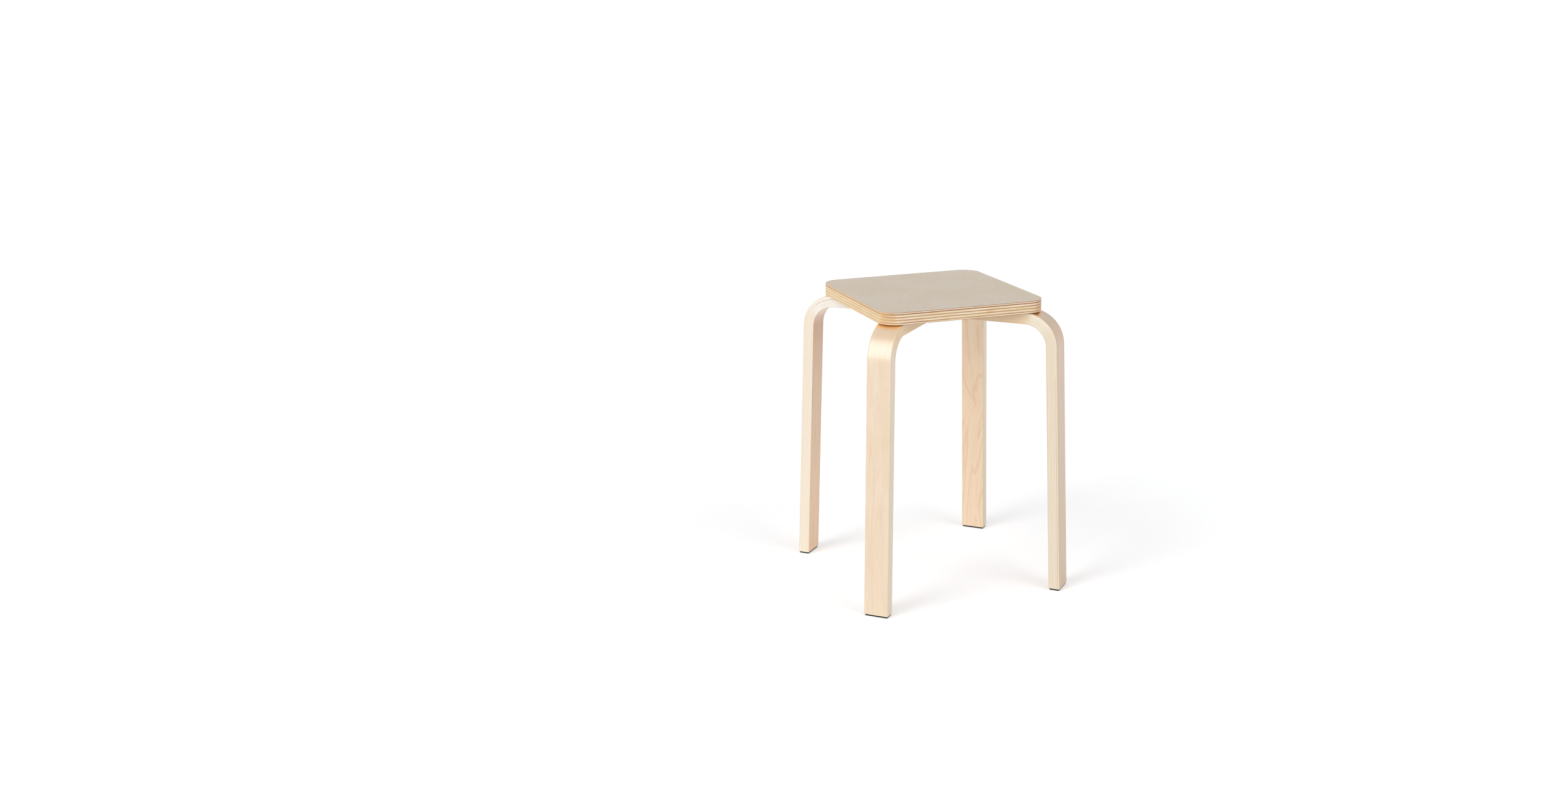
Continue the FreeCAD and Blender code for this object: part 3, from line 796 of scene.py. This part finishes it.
def seat_sheet():
    """A hard greige sheet with the faint cross-hatch of linen, and its brown edge."""
    sheet = Recipe("seat_sheet")
    place = sheet.place()
    height = sheet.parts(place)[2]
    facing = sheet.facing()
    cut_x = sheet.math("POWER", sheet.math("ABSOLUTE", facing[0]), 2)
    threads_x = sheet.noise(sheet.scaled(place, 120, 800, 0))
    threads_y = sheet.noise(sheet.scaled(place, 800, 120, 0))
    cloud = sheet.noise(sheet.scaled(place, 12, 12, 0), detail=3)
    speck = sheet.noise(sheet.scaled(place, 2600, 2600, 0), detail=1)
    weave = sheet.math("ADD", threads_x, threads_y)
    base = sheet.mix(sheet.step(cloud, 0.3, 0.7), colour(216, 204, 187), colour(213, 199, 178))
    base = sheet.shade(sheet.step(weave, 0.75, 1.25), base, (0.91, 0.89, 0.86))
    base = sheet.shade(sheet.step(speck, 0.5, 0.75), base, (1.05, 1.05, 1.05))
    on_edge = sheet.step(height, SHEET_HIGH.z - 0.12 * MM, SHEET_HIGH.z - 0.34 * MM)
    streaks = sheet.noise(sheet.scaled(place, 160, 160, 2500))
    edge = sheet.mix(streaks, colour(168, 112, 74), colour(112, 66, 44))
    edge = sheet.mix(sheet.times(cut_x, 0.85), edge, colour(220, 182, 136))
    base = sheet.mix(on_edge, base, edge)
    sheet.bump(sheet.math("MULTIPLY_ADD", speck, 0.3, weave), 0.03 * MM, 0.5)
    return sheet.finish(base, sheet.between(weave, 0.40, 0.52))


def seat_backing():
    """A thin brown sheet that balances the one on top, with small chips along its rim."""
    sheet = Recipe("seat_backing")
    place = sheet.place()
    height = sheet.parts(place)[2]
    fibres = sheet.noise(sheet.scaled(place, 24, 1300, 1300), detail=3)
    cloud = sheet.noise(sheet.scaled(place, 12, 30, 30))
    chips = sheet.step(sheet.noise(sheet.scaled(place, 90, 90, 400)), 0.66, 0.70)
    base = sheet.mix(cloud, colour(204, 168, 128), colour(184, 142, 102))
    dark_fibres = sheet.between(sheet.step(fibres, 0.35, 0.75), 0, 0.5)
    base = sheet.mix(dark_fibres, base, colour(158, 114, 78))
    # The rim's colour is partly painted: a dark warm painted shade on the front and back rims,
    # painted light on the left and right ones, over the sheet's brown edge.
    rim = sheet.math("GREATER_THAN", height, BACKING_LOW.z + 0.02 * MM)
    facing = sheet.facing()
    cut_x = sheet.math("POWER", sheet.math("ABSOLUTE", facing[0]), 2)
    rim_colour_and_painted_shading = sheet.mix(cut_x, colour(158, 106, 72), colour(236, 212, 178))
    base = sheet.mix(sheet.times(rim, 0.7), base, rim_colour_and_painted_shading)
    base = sheet.mix(sheet.times(chips, rim), base, colour(238, 212, 178))
    sheet.bump(fibres, 0.05 * MM, 0.5)
    return sheet.finish(base, sheet.between(fibres, 0.45, 0.65))


def pad_rubber():
    """Hard near-black rubber with a fine moulded grain and a little dust."""
    rubber = Recipe("foot_pad")
    place = rubber.place()
    grain = rubber.noise(rubber.scaled(place, 2500, 2500, 2500))
    dust = rubber.noise(rubber.scaled(place, 220, 220, 220), detail=3)
    base = rubber.mix(grain, colour(24, 27, 26), colour(38, 42, 40))
    dusty = rubber.between(rubber.step(dust, 0.5, 0.8), 0, 0.3)
    base = rubber.mix(dusty, base, colour(84, 84, 78))
    rubber.bump(grain, 0.08 * MM, 0.7)
    return rubber.finish(base, rubber.between(dust, 0.55, 0.85))


def plated_steel(name, tint):
    """Zinc-plated steel with turning marks, small scratches and faint stains."""
    steel = Recipe(name)
    place = steel.place()
    cloud = steel.noise(steel.scaled(place, 300, 300, 300), detail=3)
    marks = steel.noise(steel.scaled(place, 2200, 2200, 5000))
    scratches = steel.step(steel.noise(steel.scaled(place, 400, 6000, 900)), 0.60, 0.68)
    base = steel.mix(cloud, colour(*tint), colour(158, 158, 154))
    base = steel.mix(steel.times(scratches, 0.4), base, colour(228, 228, 224))
    steel.bump(steel.math("ADD", marks, scratches), 0.02 * MM, 0.5)
    return steel.finish(base, steel.between(cloud, 0.25, 0.48), {"Metallic": 1.0})


# The stage


def make_camera():
    data = bpy.data.cameras.new("camera")
    data.sensor_fit = "HORIZONTAL"
    data.sensor_width = SENSOR_WIDTH_MM
    data.lens = FOCAL_PIXELS / PHOTO_WIDTH * SENSOR_WIDTH_MM
    data.shift_x = -VIEW_CENTRE_PIXELS[0] / PHOTO_WIDTH
    data.shift_y = VIEW_CENTRE_PIXELS[1] / PHOTO_WIDTH
    data.clip_start = NEAREST_SEEN
    data.clip_end = FARTHEST_SEEN
    camera = bpy.data.objects.new("camera", data)
    camera.location = CAMERA_PLACE
    camera.rotation_euler = (math.pi / 2 - CAMERA_DIP, 0, CAMERA_TURN)
    bpy.context.scene.collection.objects.link(camera)
    bpy.context.scene.camera = camera


def make_light(name, azimuth, elevation, width, share):
    """A distant soft light. A surface that faces it gets that share of a plain light level."""
    data = bpy.data.lights.new(name, "SUN")
    data.angle = math.radians(width)
    data.energy = share * math.pi
    light = bpy.data.objects.new(name, data)
    around, up = math.radians(azimuth), math.radians(elevation)
    level = math.cos(up)
    towards = Vector((math.cos(around) * level, math.sin(around) * level, math.sin(up)))
    light.rotation_euler = towards.to_track_quat("Z", "Y").to_euler()
    bpy.context.scene.collection.objects.link(light)


def make_world():
    """White where it is seen, and a plain level of light where it lights the stool."""
    world = bpy.data.worlds.new("room")
    world.use_nodes = True
    bpy.context.scene.world = world
    room = Graph(world.node_tree)
    background = room.tree.nodes["Background"]
    background.inputs["Color"].default_value = WHITE
    room.feed(background.inputs["Strength"], room.between(room.seen_directly(), ROOM_LIGHT, 1.0))


def make_floor():
    """A white floor that keeps the stool's shadow, open to a camera under it."""
    paper = Recipe("floor_paper")
    tooth = paper.noise(paper.scaled(paper.place(), 60, 60, 60))
    base = paper.mix(tooth, colour(243, 244, 246), colour(244, 245, 247))
    paper.finish(base, 0.9, {"Specular IOR Level": 0.0})
    paper.surface.inputs["Emission Color"].default_value = WHITE
    glow = paper.times(paper.seen_directly(), FLOOR_GLOW)
    paper.feed(paper.surface.inputs["Emission Strength"], glow)
    clear = paper.node("BsdfTransparent")
    sides = paper.node("MixShader")
    output = paper.tree.nodes["Material Output"]
    paper.feed(sides.inputs[0], paper.node("NewGeometry").outputs["Backfacing"])
    paper.feed(sides.inputs[1], paper.surface.outputs[0])
    paper.feed(sides.inputs[2], clear.outputs[0])
    paper.feed(output.inputs["Surface"], sides.outputs[0])
    half = FLOOR_SIZE / 2
    corners = [(-half, -half, 0), (half, -half, 0), (half, half, 0), (-half, half, 0)]
    mesh = bpy.data.meshes.new("floor")
    mesh.from_pydata(corners, [], [(0, 1, 2, 3)])
    mesh.materials.append(paper.material)
    floor = bpy.data.objects.new("floor", mesh)
    bpy.context.scene.collection.objects.link(floor)


make_camera()
for name, settings in LIGHTS.items():
    make_light(name, *settings)
make_world()
make_floor()

# The wood of each leg, as leg_laminate takes it. Its bend tints and arm colour hold painted light
# and shade.
LEG_WOOD = {
    "front_left": {
        "seed": 1,
        "face": (235, 215, 189),
        "side": (232, 214, 186),
        "bend_side": (232, 200, 146),
        "arm_side_light_and_shade": (236, 197, 122),
        "bend_inside_light_and_shade": (1.0, 1.0, 1.0),
        "bend_outside_painted_shade": (0.90, 0.85, 0.79),
        "figure": 0.10,
        "lines": [],
        "knot": None,
    },
    "front_right": {
        "seed": 2,
        "face": (208, 171, 130),
        "side": (230, 216, 195),
        "bend_side": (239, 230, 214),
        "arm_side_light_and_shade": (244, 220, 184),
        "bend_inside_light_and_shade": (1.0, 1.0, 1.0),
        "bend_outside_painted_shade": (0.83, 0.90, 0.93),
        "figure": 0.12,
        "lines": [(10, -LINE_FADE, 345 * MM, 0.6)],
        "knot": None,
    },
    "back_left": {
        "seed": 3,
        "face": (241, 201, 158),
        "side": (243, 230, 210),
        "bend_side": (250, 244, 236),
        "arm_side_light_and_shade": (253, 249, 243),
        "bend_inside_light_and_shade": (0.87, 0.77, 0.64),
        "bend_outside_painted_shade": (0.90, 0.85, 0.79),
        "figure": 0.25,
        "lines": [
            (8, UPRIGHT_LENGTH + 20 * MM, BEND_END + 18 * MM, 0.95),
            (4, UPRIGHT_LENGTH + 30 * MM, BEND_END + 12 * MM, 0.4),
        ],
        "knot": None,
    },
    "back_right": {
        "seed": 4,
        "face": (243, 219, 189),
        "side": (224, 203, 172),
        "bend_side": (238, 228, 208),
        "arm_side_light_and_shade": (238, 228, 208),
        "bend_inside_light_and_shade": (1.08, 1.08, 1.09),
        "bend_outside_painted_shade": (0.90, 0.85, 0.79),
        "figure": 0.35,
        "lines": [],
        "knot": (218 * MM, 22 * MM, 42 * MM),
    },
}
make_seat(
    {"seat_sheet": seat_sheet(), "seat_plywood": seat_plywood(), "seat_backing": seat_backing()}
)
rubber = pad_rubber()
bolt_steel = plated_steel("bolt_steel", (196, 197, 194))
insert_steel = plated_steel("insert_steel", (206, 196, 160))
for corner, degrees in CORNERS.items():
    make_leg(corner, degrees, leg_laminate(corner + "_laminate", **LEG_WOOD[corner]))
    make_foot_pad(corner, degrees, rubber)
    for place, reach in enumerate(BOLT_REACHES, start=1):
        make_bolt(corner, degrees, place, reach, bolt_steel)
        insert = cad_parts[f"{corner}_insert_{place}"]
        for slot in insert.material_slots:
            slot.material = insert_steel

bpy.context.scene.view_settings.view_transform = "Standard"
bpy.context.view_layer.update()
